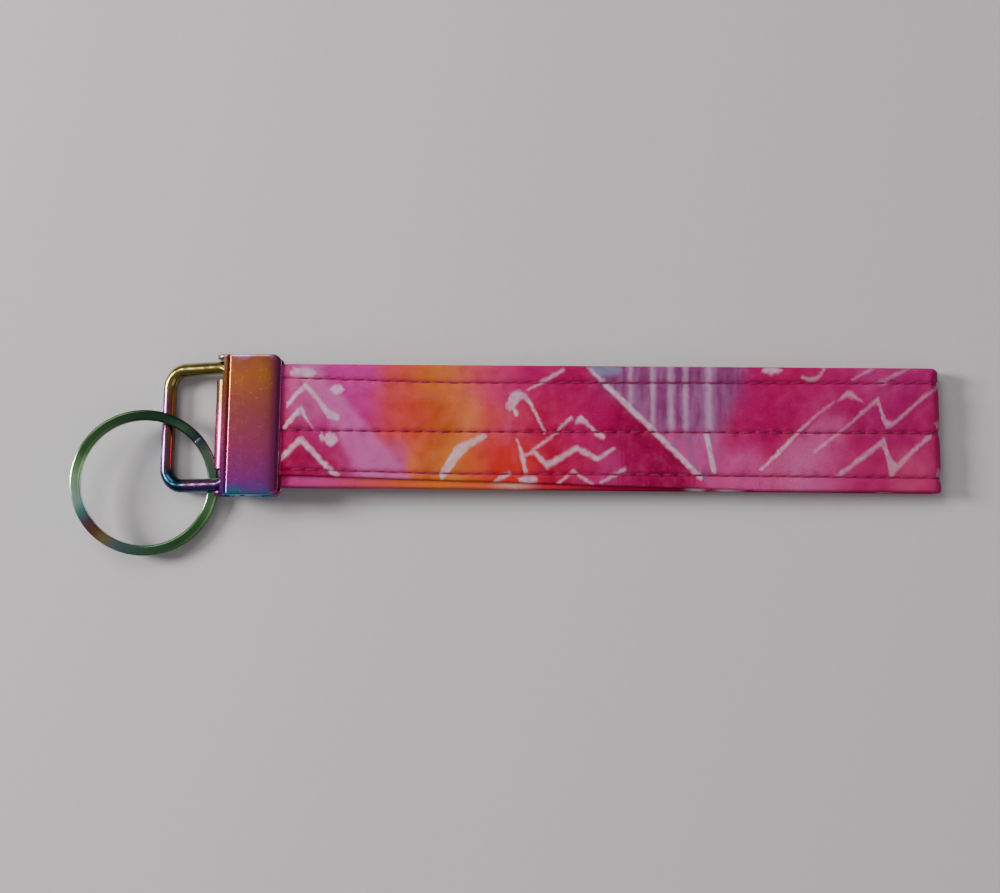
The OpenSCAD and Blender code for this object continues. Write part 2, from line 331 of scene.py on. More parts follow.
# Pale brush strokes as (along, across, half width) points; each layer's strokes follow one another
STROKES = [
    [blob(3.7, 9.9, 2.7, 1.3),
     [(46.4, 7.0, .3), (50.0, 8.9, .45), (53.3, 10.9, .4)],
     [(58.0, 11.5, .3), (61.0, 8.4, .6), (70.0, -.4, .62), (79.2, -9.6, .55)],
     blob(92.7, 11.1, 2.1, .95),
     [(98.4, 9.9, .3), (99.6, 9.3, .5), (101.4, 9.6, .42), (102.8, 11.8, .35)],
     [(107.8, 9.3, .3), (111.8, 11.7, .35)], [(114.1, 9.4, .35), (118.8, 11.8, .35)]],
    [[(1.0, 3.9, .4), (2.8, 6.1, .5), (4.4, 7.5, .55), (6.6, 5.0, .45), (8.6, 2.2, .7), (10.6, 1.3, .7)],
     [(42.6, 4.0, .5), (43.3, 4.4, 1.5), (44.3, 5.4, 1.25), (45.4, 6.1, .7), (46.6, 5.3, .45),
      (48.2, 2.2, .3), (49.8, -1.0, .3)],
     [(52.3, -.6, .3), (55.0, 1.9, .38)],
     [(55.6, .6, .4), (56.6, 1.6, .6), (58.4, .1, .35), (59.6, -1.4, .6), (60.9, -1.9, .6)],
     [(90.4, -7.9, .3), (94.0, -4.4, .45), (98.1, -.2, .35), (101.0, 2.6, .28), (104.2, 5.0, .28)],
     [(104.9, 5.2, .25), (107.0, 6.8, .7), (109.6, 5.2, .3)]],
    [[(.1, -.8, .5), (3.5, 3.0, .6), (7.4, -.8, .55)], blob(9.0, -2.8, 1.8, 1.6),
     [(30.5, -9.6, .7), (33.0, -5.6, 1.2), (35.5, -3.6, .8), (38.8, -1.8, .55)],
     [(47.3, -4.8, .3), (52.2, -1.2, .3)],
     [(100.3, -4.6, .4), (106.4, .2, .28), (112.2, 5.4, .45), (112.9, 4.9, .45), (113.6, 1.0, .45),
      (115.2, .9, .4), (121.2, 6.2, .45), (124.4, 8.3, .35), (126.4, 9.0, .3)]],
    [[(-.3, -6.4, .6), (3.7, -2.8, .62), (8.1, -7.4, .55), (9.4, -8.6, .7), (10.9, -9.7, .5)],
     [(46.2, -5.6, .4), (47.8, -4.8, .4), (50.3, -7.5, .6), (55.8, -4.1, .62), (59.9, -6.2, .55),
      (63.1, -4.0, .35)],
     [(104.8, -9.0, .5), (113.0, -2.6, .62), (113.6, -2.6, .6), (114.4, -7.2, .8), (115.6, -7.5, .75),
      (119.0, -4.0, .45), (122.4, -1.0, .5)]],
    [[(40.3, -10.7, .4), (43.4, -8.7, .5)], blob(46.8, -10.2, 2.0, .95),
     [(52.4, -10.8, .3), (55.3, -8.5, .4), (58.8, -10.9, .35)],
     [(60.3, -10.7, .3), (64.9, -8.0, .5)], blob(124.1, -8.3, 1.1, 1.2)],
    [blob(10.3, 6.8, 1.4, 1.15), blob(113.4, 8.9, 1.1, .7), blob(124.2, 1.0, 1.1, 1.2)],
]
HOOKS = [((44.7, -2.6), (45.6, -5.4), .25), ((45.6, -5.4), (46.3, -8.8), .42),
         ((43.9, 3.4), (44.5, 2.2), .4), ((80.2, -1.0), (81.6, -8.2), .5)]


def stroke_mask(n, along, across, strokes, edge):
    """Where a layer of brush strokes lies; along runs from 0 to 1 over the print's length."""
    centre, width = [], [(0.0, 0.0)]
    for stroke in strokes:
        us, vs = [p[0] for p in stroke], [p[1] for p in stroke]
        slopes = [math.hypot(1, (vs[k + 1] - vs[k]) / (us[k + 1] - us[k])) for k in range(len(us) - 1)]
        slopes = [min(s, 5.0) for s in slopes]
        width.append(((us[0] - 0.35) / PRINT_LEN, 0.0))
        for k, (u, v, w) in enumerate(stroke):
            slope = (slopes[max(k - 1, 0)] + slopes[min(k, len(slopes) - 1)]) / 2
            centre.append((u / PRINT_LEN, (v + 13) / 26))
            width.append((u / PRINT_LEN, min(w * slope / 4, 1.0)))
        width.append(((us[-1] + 0.35) / PRINT_LEN, 0.0))
    width.append((1.0, 0.0))
    inside = [(max(0.0, x), y) for x, y in centre]
    middle = n.math("MULTIPLY_ADD", n.curve(along, inside), 26.0, -13.0)
    reach = n.math("MULTIPLY", n.curve(along, [(max(0.0, x), y) for x, y in width]), 4.0)
    offset = n.math("ABSOLUTE", n.math("SUBTRACT", across, middle))
    mask = n.smooth(n.math("SUBTRACT", reach, offset), -0.5 * edge, edge)
    return n.math("MULTIPLY", mask, n.smooth(reach, 0.05, 0.25))


def side_of(n, u, v, start, end):
    """Signed distance to the line from start to end, positive to its left."""
    du, dv = end[0] - start[0], end[1] - start[1]
    length = math.hypot(du, dv)
    a, b = -dv / length, du / length
    c = -(a * start[0] + b * start[1])
    return n.math("MULTIPLY_ADD", u, a, n.math("MULTIPLY_ADD", v, b, c))


def segment_distance(n, point, start, end):
    """Distance from point to the segment from start to end."""
    def vector(operation, a, b=None):
        node = n.add("ShaderNodeVectorMath", operation=operation)
        n.put(node.inputs[0], a)
        n.put(node.inputs[1], b)
        return node.outputs["Value" if operation in ("DOT_PRODUCT", "LENGTH") else "Vector"]
    line = (end[0] - start[0], end[1] - start[1], 0.0)
    rel = vector("SUBTRACT", point, (start[0], start[1], 0.0))
    share = n.math("DIVIDE", vector("DOT_PRODUCT", rel, line), line[0] ** 2 + line[1] ** 2, clamp=True)
    scaled = n.add("ShaderNodeVectorMath", operation="SCALE")
    scaled.inputs[0].default_value = line
    n.put(scaled.inputs["Scale"], share)
    return vector("LENGTH", vector("SUBTRACT", rel, scaled.outputs[0]))


def printed_cotton():
    n = Nodes("printed_cotton")
    flat = n.flat()
    length, v, _ = n.split(flat)
    u01 = n.math("FRACT", n.math("DIVIDE", length, PRINT_LEN))
    u = n.math("MULTIPLY", u01, PRINT_LEN)

    # watercolour ground: three bands of colour that run into one another, darker at the clamp's mouth as
    # painted shade
    drift = n.split(n.noise(flat, 0.16, 3.0, colour=True))
    ug = n.math("ADD", u01, n.math("MULTIPLY_ADD", drift[0], 6.0 / PRINT_LEN, -3.0 / PRINT_LEN))
    vg = n.math("ADD", v, n.math("MULTIPLY_ADD", drift[1], 6.0, -3.0))
    ground = n.mix(n.smooth(vg, -6.5, -0.5), n.ramp(ug, SOUTH, "LINEAR"), n.ramp(ug, MIDDLE, "LINEAR"))
    ground = n.mix(n.smooth(vg, 2.5, 8.5), ground, n.ramp(ug, NORTH, "LINEAR"))

    # drifting coordinates for everything with an edge
    fray = n.split(n.noise(flat, 1.3, 4.0, colour=True))
    us = n.math("ADD", u, n.math("MULTIPLY_ADD", fray[0], 0.9, -0.45))
    vs = n.math("ADD", v, n.math("MULTIPLY_ADD", fray[1], 0.9, -0.45))
    us01 = n.math("DIVIDE", us, PRINT_LEN)

    # lilac wash behind the chevrons, ending on a slant
    edge = side_of(n, us, vs, (24.6, -9.0), (11.2, 6.6))
    wash = n.math("MULTIPLY", n.smooth(edge, -0.3, 1.6),
                  n.smooth(n.math("MULTIPLY_ADD", vs, 0.58, us), 8.0, 11.0))
    ground = n.mix(n.math("MULTIPLY", wash, 0.85), ground, rgb(200, 108, 168, PRINT_GAIN))
    low = n.math("MULTIPLY", n.smooth(us, 9.0, 6.5), n.smooth(vs, -1.5, 2.5))
    low = n.math("MULTIPLY", low, n.smooth(us, -2.0, 4.0))
    ground = n.mix(n.math("MULTIPLY", low, 0.6), ground, rgb(196, 104, 156, PRINT_GAIN))

    # slate and purple panel with upright stripes, right of the long slant
    slant = side_of(n, us, vs, (79.2, -9.6), (60.4, 9.0))
    panel = n.math("MULTIPLY", n.smooth(slant, 0.1, -0.25), n.smooth(us, 58.0, 60.0))
    panel = n.math("MULTIPLY", panel, n.smooth(n.math("MULTIPLY_ADD", vs, -0.28, us), 86.5, 81.5))
    hue = n.mix(n.smooth(vs, -1.5, 1.5), rgb(192, 88, 146, PRINT_GAIN), rgb(142, 70, 122, PRINT_GAIN))
    hue = n.mix(n.smooth(n.noise(n.join(n.math("MULTIPLY", us, 1.5), n.math("MULTIPLY", vs, 0.2)), 0.6),
                         .42, .62),
                hue, rgb(154, 98, 144, PRINT_GAIN))
    bars = n.curve(us01, [(0.0, 0.0)] + [
        (p / PRINT_LEN, h) for c, w in ((66.0, .3), (70.2, .28), (73.6, .42), (76.4, .32), (80.8, .6))
        for p, h in ((c - w - .45, 0.0), (c - w * .4, 1.0), (c + w * .4, 1.0), (c + w + .45, 0.0))
    ] + [(1.0, 0.0)])
    bars = n.math("MULTIPLY", bars, n.smooth(vs, -1.6, 0.4))
    hue = n.mix(n.math("MULTIPLY", bars, 0.62), hue, rgb(206, 176, 202, PRINT_GAIN))
    ground = n.mix(panel, ground, hue)
    slate = stroke_mask(n, us01, vs, [blob(61.2, 10.9, 3.4, 1.5)], 1.0)
    ground = n.mix(n.math("MULTIPLY", slate, 0.8), ground, rgb(134, 142, 168, PRINT_GAIN))

    # pink wash under the second slant
    slant2 = side_of(n, us, vs, (90.7, -7.8), (104.2, 4.9))
    pink = n.math("MULTIPLY", n.smooth(slant2, 0.2, -0.8), n.smooth(slant2, -9.0, -3.0))
    pink = n.math("MULTIPLY", pink, n.smooth(us, 88.0, 92.0))
    pink = n.math("MULTIPLY", pink, n.smooth(us, 112.0, 104.0))
    pink = n.math("MULTIPLY", pink, n.smooth(vs, 4.5, -0.5))
    ground = n.mix(n.math("MULTIPLY", pink, 0.55), ground, rgb(202, 108, 158, PRINT_GAIN))

    # dark brush streaks in the crimson, and pooled pigment everywhere
    streak = n.noise(n.join(n.math("MULTIPLY", us, 2.4), n.math("MULTIPLY", vs, 0.16)), 1.0, 2.0)
    dark = n.math("MULTIPLY", n.smooth(streak, 0.42, 0.66), n.smooth(us, 58.5, 68.0))
    dark = n.math("MULTIPLY", dark, n.smooth(slant, -0.4, 0.4))
    dark = n.math("MULTIPLY", dark, n.smooth(us, 80.0, 76.0))
    ground = n.mix(n.math("MULTIPLY", dark, 0.75), ground, rgb(142, 8, 78, PRINT_GAIN))
    pool = n.noise(flat, 0.42, 4.0)
    ground = n.mix(n.math("MULTIPLY", n.smooth(pool, 0.5, 0.72), 0.35), ground,
                   n.mix(1.0, ground, rgb(205, 150, 190), "MULTIPLY"))
    ground = n.mix(n.math("MULTIPLY", n.smooth(pool, 0.5, 0.3), 0.12), ground,
                   rgb(214, 120, 158, PRINT_GAIN))

    # pale strokes
    strokes = 0.0
    for layer in STROKES:
        strokes = n.math("MAXIMUM", strokes, stroke_mask(n, us01, vs, layer, 0.62))
    point = n.join(us, vs)
    for start, end, half in HOOKS:
        strokes = n.math("MAXIMUM", strokes,
                         n.smooth(segment_distance(n, point, start, end), half + .2, half - .3))
    worn = n.math("MULTIPLY_ADD", n.noise(flat, 0.8, 3.0), 1.3, 0.12, clamp=True)
    inside = n.smooth(v, -12.6, -12.3)
    faint = n.math("MULTIPLY_ADD", n.smooth(us, 96.0, 102.0), -0.33, 0.88)
    strokes = n.math("MULTIPLY", n.math("MULTIPLY", n.math("MULTIPLY", strokes, worn), faint), inside)
    colour = n.mix(strokes, ground, rgb(216, 192, 208, PRINT_GAIN))
    colour = n.mix(n.smooth(v, -12.4, -12.7), colour, n.ramp(ug, STRIP, "LINEAR"))

    # yarns: fine diagonal texture in the colour and in the surface
    yarn_u = n.math("SINE", n.math("MULTIPLY", length, 2 * math.pi / YARN))
    yarn_v = n.math("SINE", n.math("MULTIPLY", v, 2 * math.pi / YARN))
    weave = n.math("MULTIPLY", yarn_u, yarn_v)
    slub = n.noise(flat, 2.6, 2.0)
    tone = n.math("MULTIPLY_ADD", weave, 0.2, n.math("MULTIPLY_ADD", slub, 0.5, 0.75))
    tint = n.join(tone, tone, tone)
    colour = n.mix(1.0, colour, tint, "MULTIPLY")
    # painted highlight: pale specks where single yarns catch the light
    speck = n.smooth(n.noise(flat, 3.4, 1.0), 0.62, 0.8)
    colour = n.mix(n.math("MULTIPLY", speck, 0.42), colour,
                   n.mix(0.5, colour, rgb(240, 190, 205, PRINT_GAIN)))
    # painted shade in the creases along the stitch rows
    share = n.math("DIVIDE", length, 260.0)
    for places in ROW_PLACES:
        row = n.curve(share, [(s / 260, (w + 13) / 26) for s, w in places + [(260, places[-1][1])]])
        gap = n.math("ABSOLUTE", n.math("SUBTRACT", v, n.math("MULTIPLY_ADD", row, 26.0, -13.0)))
        row_shade = n.math("MULTIPLY", n.smooth(gap, 0.34, 0.06), 0.55)
        colour = n.mix(row_shade, colour, n.mix(1.0, colour, rgb(180, 66, 112), "MULTIPLY"))
    deep = n.add("ShaderNodeGamma")
    n.put(deep.inputs[0], colour)
    deep.inputs[1].default_value = 1.16
    colour = deep.outputs[0]
    n.set(Base_Color=colour, Roughness=0.85, Specular_IOR_Level=0.06)
    n.bump(n.math("ADD", n.math("MULTIPLY", weave, 0.5), slub), 0.8, 0.1)
    return n.material


def thread_material():
    n = Nodes("topstitch_thread")
    along, around, _ = n.split(n.flat())
    twist = n.math("SINE", n.math("ADD", n.math("MULTIPLY", along, 2 * math.pi / 0.42),
                                  n.math("MULTIPLY", around, 2 * math.pi)))
    tone = n.noise(n.join(along, around), 0.8)
    colour = n.mix(tone, rgb(106, 4, 50), rgb(140, 14, 72))
    # painted highlight: the crests of the twisted plies are lighter
    colour = n.mix(n.smooth(twist, 0.3, 1.0), colour, rgb(172, 44, 104))
    n.set(Base_Color=colour, Roughness=0.65, Sheen_Weight=0.1, Specular_IOR_Level=0.2)
    n.bump(twist, 0.6, 0.04)
    return n.material


# ---------------------------------------------------------------- the strap
ROW_WOBBLE = 0.04
CLAMPED = 1.47            # outer face of one half where the clamp holds it
SEAM_GAP = 0.03           # half the gap between the folded panels at the open edge


def row_at(row, s):
    places = ROW_PLACES[row]
    straight = np.interp(s, [p[0] for p in places], [p[1] for p in places])
    return straight + ROW_WOBBLE * np.sin(s * 0.9 + row * 2)


def set_back(s):
    """How far the upper panel's folded edge stands back from the strap's edge."""
    return 2.15 * np.clip(1 - np.asarray(s, float) / 89.6, 0, 1)


def squeeze(s):
    """Outer height of a half: squeezed thinner in the clamp's mouth at either end."""
    u = s if s < 125 else FOLD_U - (s - BACK_FROM)
    return CLAMPED + (FACE_Z - CLAMPED) * float(smoothstep(u, -0.75, 2.6))


def outer_height(s, v):
    """Height of the outer face above the mid-plane, with its puffed channels and puckered rows."""
    top = squeeze(s)
    lift = (top - CLAMPED) / (FACE_Z - CLAMPED)
    h = np.full_like(v, top)
    for row in range(3):
        d = v - row_at(row, s)
        h -= lift * (0.4 * np.exp(-(d / 0.36) ** 2) + 0.16 * np.exp(-(d / 1.6) ** 2))
        phase = 2 * math.pi * s / PITCH + row * 1.7
        h += lift * 0.07 * math.cos(phase) * np.exp(-((np.abs(d) - 0.6) / 0.6) ** 2)
    h += lift * (0.05 + 0.045 * np.sin(0.31 * s + 0.4 * v) + 0.03 * np.sin(0.83 * s - 0.55 * v + 1.3))
    return np.minimum(h, FACE_Z) if s > FOLD_U else h      # flat where it lies on the floor


def strap_place(s, v, h):
    """A point of the strap from its length, width and height above the mid-plane, in the row frame."""
    if s < FOLD_U:
        u, z = s, h
    elif s < BACK_FROM:
        turn = (s - FOLD_U) / FACE_Z
        u, z = FOLD_U + h * math.sin(turn), h * math.cos(turn)
    else:
        u, z = FOLD_U - (s - BACK_FROM), -h
    if np.ndim(u) == 0:
        u = np.full_like(v, u)
    z = np.broadcast_to(z, v.shape)
    level = smoothstep(u, -1.5, 1.5)      # the tail lies level between the plates
    c, sn = math.cos(STRAP_DROOP), math.sin(STRAP_DROOP)
    x = HINGE_X + u * (1 - level) + level * (u * c + z * sn)
    height = PIVOT_H + z * (1 - level) + level * (z * c - u * sn)
    return np.stack([ORIGIN.x + x * MM, ORIGIN.y + v * MM, height * MM], axis=-1)


def strap_section(s):
    """One closed ring across the strap: (v, h) points and the print's v at each corner of its sides."""
    half = STRAP_W / 2
    top_edge = -half + float(set_back(s))
    top = squeeze(s)
    split = INNER_Z + (top - INNER_Z) * 0.5          # between the two folded panels at the open edge
    r_top, r_low = (top - split - SEAM_GAP) / 2, (split - SEAM_GAP - INNER_Z) / 2
    r_fold = (top - INNER_Z) / 2
    bite = float(row_at(2, s)) - 0.5                  # how far the gap between the panels runs in
    v1 = np.linspace(top_edge + r_top, half - r_fold, 92)
    h1 = outer_height(s, v1)
    a = np.linspace(0, math.pi, 13)[1:-1]
    rim = (h1[-1] - INNER_Z) / 2
    v2, h2 = half - r_fold + r_fold * np.sin(a), INNER_Z + rim + rim * np.cos(a)
    v3 = np.linspace(half - r_fold, -half + r_low, 26)
    h3 = np.full_like(v3, INNER_Z)
    for row in range(3):
        h3 += 0.1 * np.exp(-((v3 - row_at(row, s)) / 0.6) ** 2)
    b = np.linspace(0, math.pi, 10)[1:]
    v4, h4 = -half + r_low - r_low * np.sin(b), INNER_Z + r_low - r_low * np.cos(b)
    v5 = np.linspace(-half + r_low, bite, 7)[1:]
    h5 = np.full_like(v5, split - SEAM_GAP) - 0.02 * np.sin(s * 1.3)
    v6 = np.linspace(bite, max(top_edge, -half + 0.01) + r_top, 5)
    h6 = np.full_like(v6, split + SEAM_GAP)
    c = np.linspace(0, math.pi, 10)[1:-1]
    rise = (h1[0] - split - SEAM_GAP) / 2
    v7, h7 = top_edge + r_top - r_top * np.sin(c), split + SEAM_GAP + rise - rise * np.cos(c)
    vs = np.concatenate([v1, v2, v3, v4, v5, v6, v7])
    hs = np.concatenate([h1, h2, h3, h4, h5, h6, h7])
    wrap = half - r_fold + r_fold * a                # the print runs on around the fold and the edges
    strip = np.concatenate([-13.2 - r_low * (math.pi - b), np.linspace(-13.2, -14.6, 6)])
    if 89 < s < BACK_FROM:                            # the two panels' edges lie flush here
        strip = np.full_like(strip, -11.6)
    prints = np.concatenate([v1, np.minimum(wrap, 12.6), -v3, strip, v6,
                             top_edge + r_top - r_top * (math.pi - c)])
    marks = np.cumsum([0, len(v1), len(v2), len(v3), len(v4) + len(v5), len(v6), len(v7)])
    return vs, hs, prints, marks


def strap_piece(name, start, end, step=0.4):
    count = max(2, int(round((end - start) / step))) + 1
    stations = np.linspace(start, end, count)
    rings, prints = [], []
    for s in stations:
        vs, hs, pv, marks = strap_section(float(s))
        rings.append(strap_place(float(s), vs, hs))
        prints.append(pv)
    size = len(prints[0])
    inner = (marks[2], marks[3] - 1)
    faces, uvs = [], []
    for i in range(count - 1):
        s0, s1, p0, p1 = stations[i], stations[i + 1], prints[i], prints[i + 1]
        for j in range(size):
            m = (j + 1) % size
            faces.append((i * size + j, (i + 1) * size + j, (i + 1) * size + m, i * size + m))
            shift = 47.0 if inner[0] <= j < inner[1] else 0.0
            t0, t1 = s0 + shift, s1 + shift
            if j >= marks[3] and s0 >= BACK_FROM - 0.01:
                t0, t1 = FOLD_U + BACK_FROM - s0, FOLD_U + BACK_FROM - s1
            q = [p0[j], p1[j], p1[m], p0[m]]
            if j == marks[2] - 1 or j == inner[1] or j == marks[4] - 1:   # seams of the print
                q = [p0[j], p1[j], p1[j], p0[j]]
            uvs += [(t0, q[0]), (t1, q[1]), (t1, q[2]), (t0, q[3])]
    faces.append(list(range(size)))
    uvs += [(stations[0], p) for p in prints[0]]
    last = (count - 1) * size
    faces.append([last + j for j in range(size - 1, -1, -1)])
    uvs += [(stations[-1], prints[-1][j]) for j in range(size - 1, -1, -1)]
    obj = new_object(name, np.concatenate(rings), faces, uvs)
    mesh = obj.data
    edges = set()
    for index in (len(faces) - 2, len(faces) - 1):    # the flat ends
        mesh.polygons[index].use_smooth = False
        edges.update(mesh.polygons[index].edge_keys)
    sharp = [tuple(sorted(e.vertices)) in edges for e in mesh.edges]
    mesh.attributes.new("sharp_edge", "BOOLEAN", "EDGE").data.foreach_set("value", sharp)
    return obj


def stitches(name, start, end, side):
    """Lockstitches of the three rows on the outer (side 1) or inner (side -1) face."""
    radius, points, faces, uvs = (0.19 if side > 0 else 0.12), [], [], []
    around, length = 10, 11
    for row in range(3):
        shift = (row * 0.37 % 1) * PITCH if side > 0 else 0.9
        k = math.ceil((start - shift) / PITCH - 0.5)
        while (k + 0.5) * PITCH + shift < end:
            s0 = k * PITCH + shift
            k += 1
            if side < 0 and FOLD_U - 4 < s0 < BACK_FROM + 1:      # the fold's inside is closed
                continue
            wobble = math.sin(k * 12.9 + row * 4.1)
            run = PITCH * (0.84 + 0.03 * wobble)
            line = []
            for t in np.linspace(0, 1, length):
                s = s0 + run * t
                v = np.array([row_at(row, s) + 0.07 * wobble * (t - 0.5)])
                if side > 0:
                    h = outer_height(s, v) + 0.12 - 0.42 * abs(2 * t - 1) ** 5
                else:
                    h = np.array([INNER_Z + 0.1 + 0.25 * abs(2 * t - 1) ** 5])
                line.append((strap_place(s, v, h)[0], s))
            base = len(points)
            for i, (p, s) in enumerate(line):
                a, b = line[max(i - 1, 0)][0], line[min(i + 1, length - 1)][0]
                tangent = Vector(b - a).normalized()
                across = Vector((0, 1, 0))
                up = tangent.cross(across).normalized()
                across = up.cross(tangent).normalized()
                taper = 0.75 + 0.25 * math.sin(math.pi * i / (length - 1))
                for j in range(around):
                    angle = 2 * math.pi * j / around
                    r = radius * taper * MM
                    points.append(Vector(p) + (across * math.cos(angle) + up * math.sin(angle) * 0.9) * r)
            for i in range(length - 1):
                for j in range(around):
                    m = (j + 1) % around
                    faces.append((base + i * around + j, base + i * around + m,
                                  base + (i + 1) * around + m, base + (i + 1) * around + j))
                    a, b, c, d = line[i][1], line[i + 1][1], j / around, (j + 1) / around
                    uvs += [(a, c), (a, d), (b, d), (b, c)]
            for i, ring in ((0, range(around - 1, -1, -1)), (length - 1, range(around))):
                faces.append([base + i * around + j for j in ring])
                uvs += [(line[i][1], j / around) for j in ring]
    return new_object(name, points, faces, uvs)


cotton, thread = printed_cotton(), thread_material()
NEAR, FAR = 28.0, 96.0
S_FAR, S_NEAR = BACK_FROM + FOLD_U - FAR, BACK_FROM + FOLD_U - NEAR
S_END = BACK_FROM + FOLD_U - TAIL_U
BEND = 33.6
MID = STRAP_LEN / 2
PIECES = [
    # name, start and end along the strap, bodies, start and end of the bend
    ("strap_mouth", TAIL_U, NEAR, ("clamp", "upper_near"), strap_point(0.3), strap_point(27.5),
     ["cover_upper_tail", "core_upper_tail", "cover_upper_near", "core_upper_near"],
     "needle_thread_upper_near", "bobbin_thread_upper_near"),
    ("strap_upper", NEAR, FAR, ("upper_near", "upper_far"), strap_point(MID - BEND), strap_point(MID + BEND),
     ["cover_upper_far", "core_upper_far"], "needle_thread_upper_far", "bobbin_thread_upper_far"),
    ("strap_fold", FAR, S_FAR, ("upper_far", "lower_far"), strap_point(STRAP_LEN, 0, .15),
     strap_point(STRAP_LEN, 0, -.15), [], None, None),
    ("strap_lower", S_FAR, S_NEAR, ("lower_far", "lower_near"),
     strap_point(MID + BEND), strap_point(MID - BEND),
     ["cover_lower_far", "core_lower_far"], "needle_thread_lower_far", "bobbin_thread_lower_far"),
    ("strap_under", S_NEAR, S_END, ("lower_near",), None, None,
     ["cover_lower_near", "core_lower_near", "cover_lower_tail", "core_lower_tail"],
     "needle_thread_lower_near", "bobbin_thread_lower_near"),
]
for name, start, end, bodies, bend_from, bend_to, nodes, needle, bobbin in PIECES:
    body = strap_piece(name, start, end)
    body.data.materials.append(cotton)
    sewn = []
    first = max(start, 1.4)
    last = min(end, BACK_FROM + FOLD_U - 1.4)
    for kind, side, node in (("needle", 1, needle), ("bobbin", -1, bobbin)):
        rows = stitches(f"{name}_{kind}_stitches", first, last, side)
        rows.data.materials.append(thread)
        if node:
            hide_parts(node)
        sewn.append(rows)
    for piece in [body] + sewn:
        if len(bodies) == 2:
            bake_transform(piece)
        else:
            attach(piece, bodies[0])
    if nodes:
        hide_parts(*nodes)


# ---------------------------------------------------------------- metals
def metal(name, colour_of, roughness=0.2, bump=0.02):
    n = Nodes(name)
    flat = n.flat()
    along, around, _ = n.split(flat)
    colour = colour_of(n, along, around)
    n.set(Base_Color=colour, Metallic=1.0)
    position = n.add("ShaderNodeTexCoord").outputs["Object"]
    smear = n.noise(position, 900.0, 3.0)
    n.set(Roughness=n.math("MULTIPLY_ADD", smear, 0.1, roughness - 0.03))
    n.bump(n.noise(position, 700.0, 1.0), 0.1, bump)
    return n.material


def clamp_colour(n, x, y):
    """Heat colours: amber at one end through rose to violet and teal; painted shade where the sheet turns
    down, painted highlight along the lip's edge.
    """
    drift = n.noise(n.join(x, y), 0.3, 3.0)
    place = n.math("ADD", n.math("ADD", y, 13.5), n.math("MULTIPLY_ADD", drift, 5.0, -2.5))
    t = n.math("DIVIDE", place, 27.0)
    base = n.ramp(t, [(0.0, rgb(60, 140, 160)), (0.03, rgb(110, 90, 178)), (0.1, rgb(170, 64, 160)),
                      (0.35, rgb(192, 78, 124)), (0.6, rgb(186, 92, 92)), (0.85, rgb(196, 116, 58)),
                      (0.96, rgb(178, 98, 74)), (1.0, rgb(180, 130, 170))], "LINEAR")
    # painted shade where the sheet turns down towards the mouth
    base = n.mix(n.smooth(x, 10.4, 12.2), base, rgb(150, 52, 112))
    # painted highlight: a bright lilac line along the lip's edge
    base = n.mix(n.smooth(x, 12.4, 12.55), base, rgb(215, 190, 235))
    base = n.mix(n.smooth(x, 2.5, 1.6), base, n.ramp(t, [
        (0.0, rgb(90, 34, 100)), (0.12, rgb(124, 48, 104)), (0.25, rgb(142, 54, 110)),
        (0.4, rgb(166, 72, 120)), (0.55, rgb(150, 74, 92)), (0.68, rgb(112, 70, 48)),
        (0.85, rgb(98, 78, 40)), (1.0, rgb(160, 132, 116))], "LINEAR"))
    speck = n.smooth(n.noise(n.join(x, y), 5.0, 1.0), 0.68, 0.74)
    return n.mix(n.math("MULTIPLY", speck, 0.22), base, rgb(230, 205, 215))


def loop_colour(n, along, around):
    drift = n.noise(n.join(along, n.math("MULTIPLY", around, 3.0)), 0.22, 2.0)
    t = n.math("FRACT", n.math("ADD", around, n.math("MULTIPLY_ADD", drift, 0.3, -0.15)))
    # Around the wire the ramps are lighter on the outward sides of the top leg and left bar, which face the
    # lamps, and darker on the bottom leg's outward side: painted highlight and painted shade over the heat
    # colours.
    side = n.ramp(t, [(0.0, rgb(190, 218, 250)), (0.1, rgb(180, 180, 230)), (0.17, rgb(120, 80, 130)),
                      (0.27, rgb(132, 76, 110)), (0.38, rgb(140, 92, 66)), (0.5, rgb(120, 90, 60)),
                      (0.75, rgb(110, 130, 180)), (0.9, rgb(150, 200, 235)), (1.0, rgb(190, 218, 250))],
                      "LINEAR")
    gold = n.ramp(t, [(0.0, rgb(190, 180, 130)), (0.2, rgb(144, 128, 72)), (0.35, rgb(150, 130, 72)),
                      (0.6, rgb(140, 125, 80)), (1.0, rgb(190, 180, 130))], "LINEAR")
    mauve = n.ramp(t, [(0.0, rgb(34, 58, 112)), (0.12, rgb(54, 58, 124)), (0.25, rgb(114, 76, 122)),
                       (0.4, rgb(134, 100, 126)), (0.6, rgb(90, 120, 150)), (0.9, rgb(50, 110, 140)),
                       (1.0, rgb(60, 70, 140))], "LINEAR")
    colour = n.mix(n.smooth(along, 15.0, 20.0), gold, side)
    colour = n.mix(n.smooth(along, 32.0, 37.0), colour, mauve)
    corner = n.math("MULTIPLY", n.smooth(along, 31.0, 34.0), n.smooth(along, 40.0, 37.5))
    return n.mix(n.math("MULTIPLY", corner, 0.95), colour, rgb(18, 62, 80))


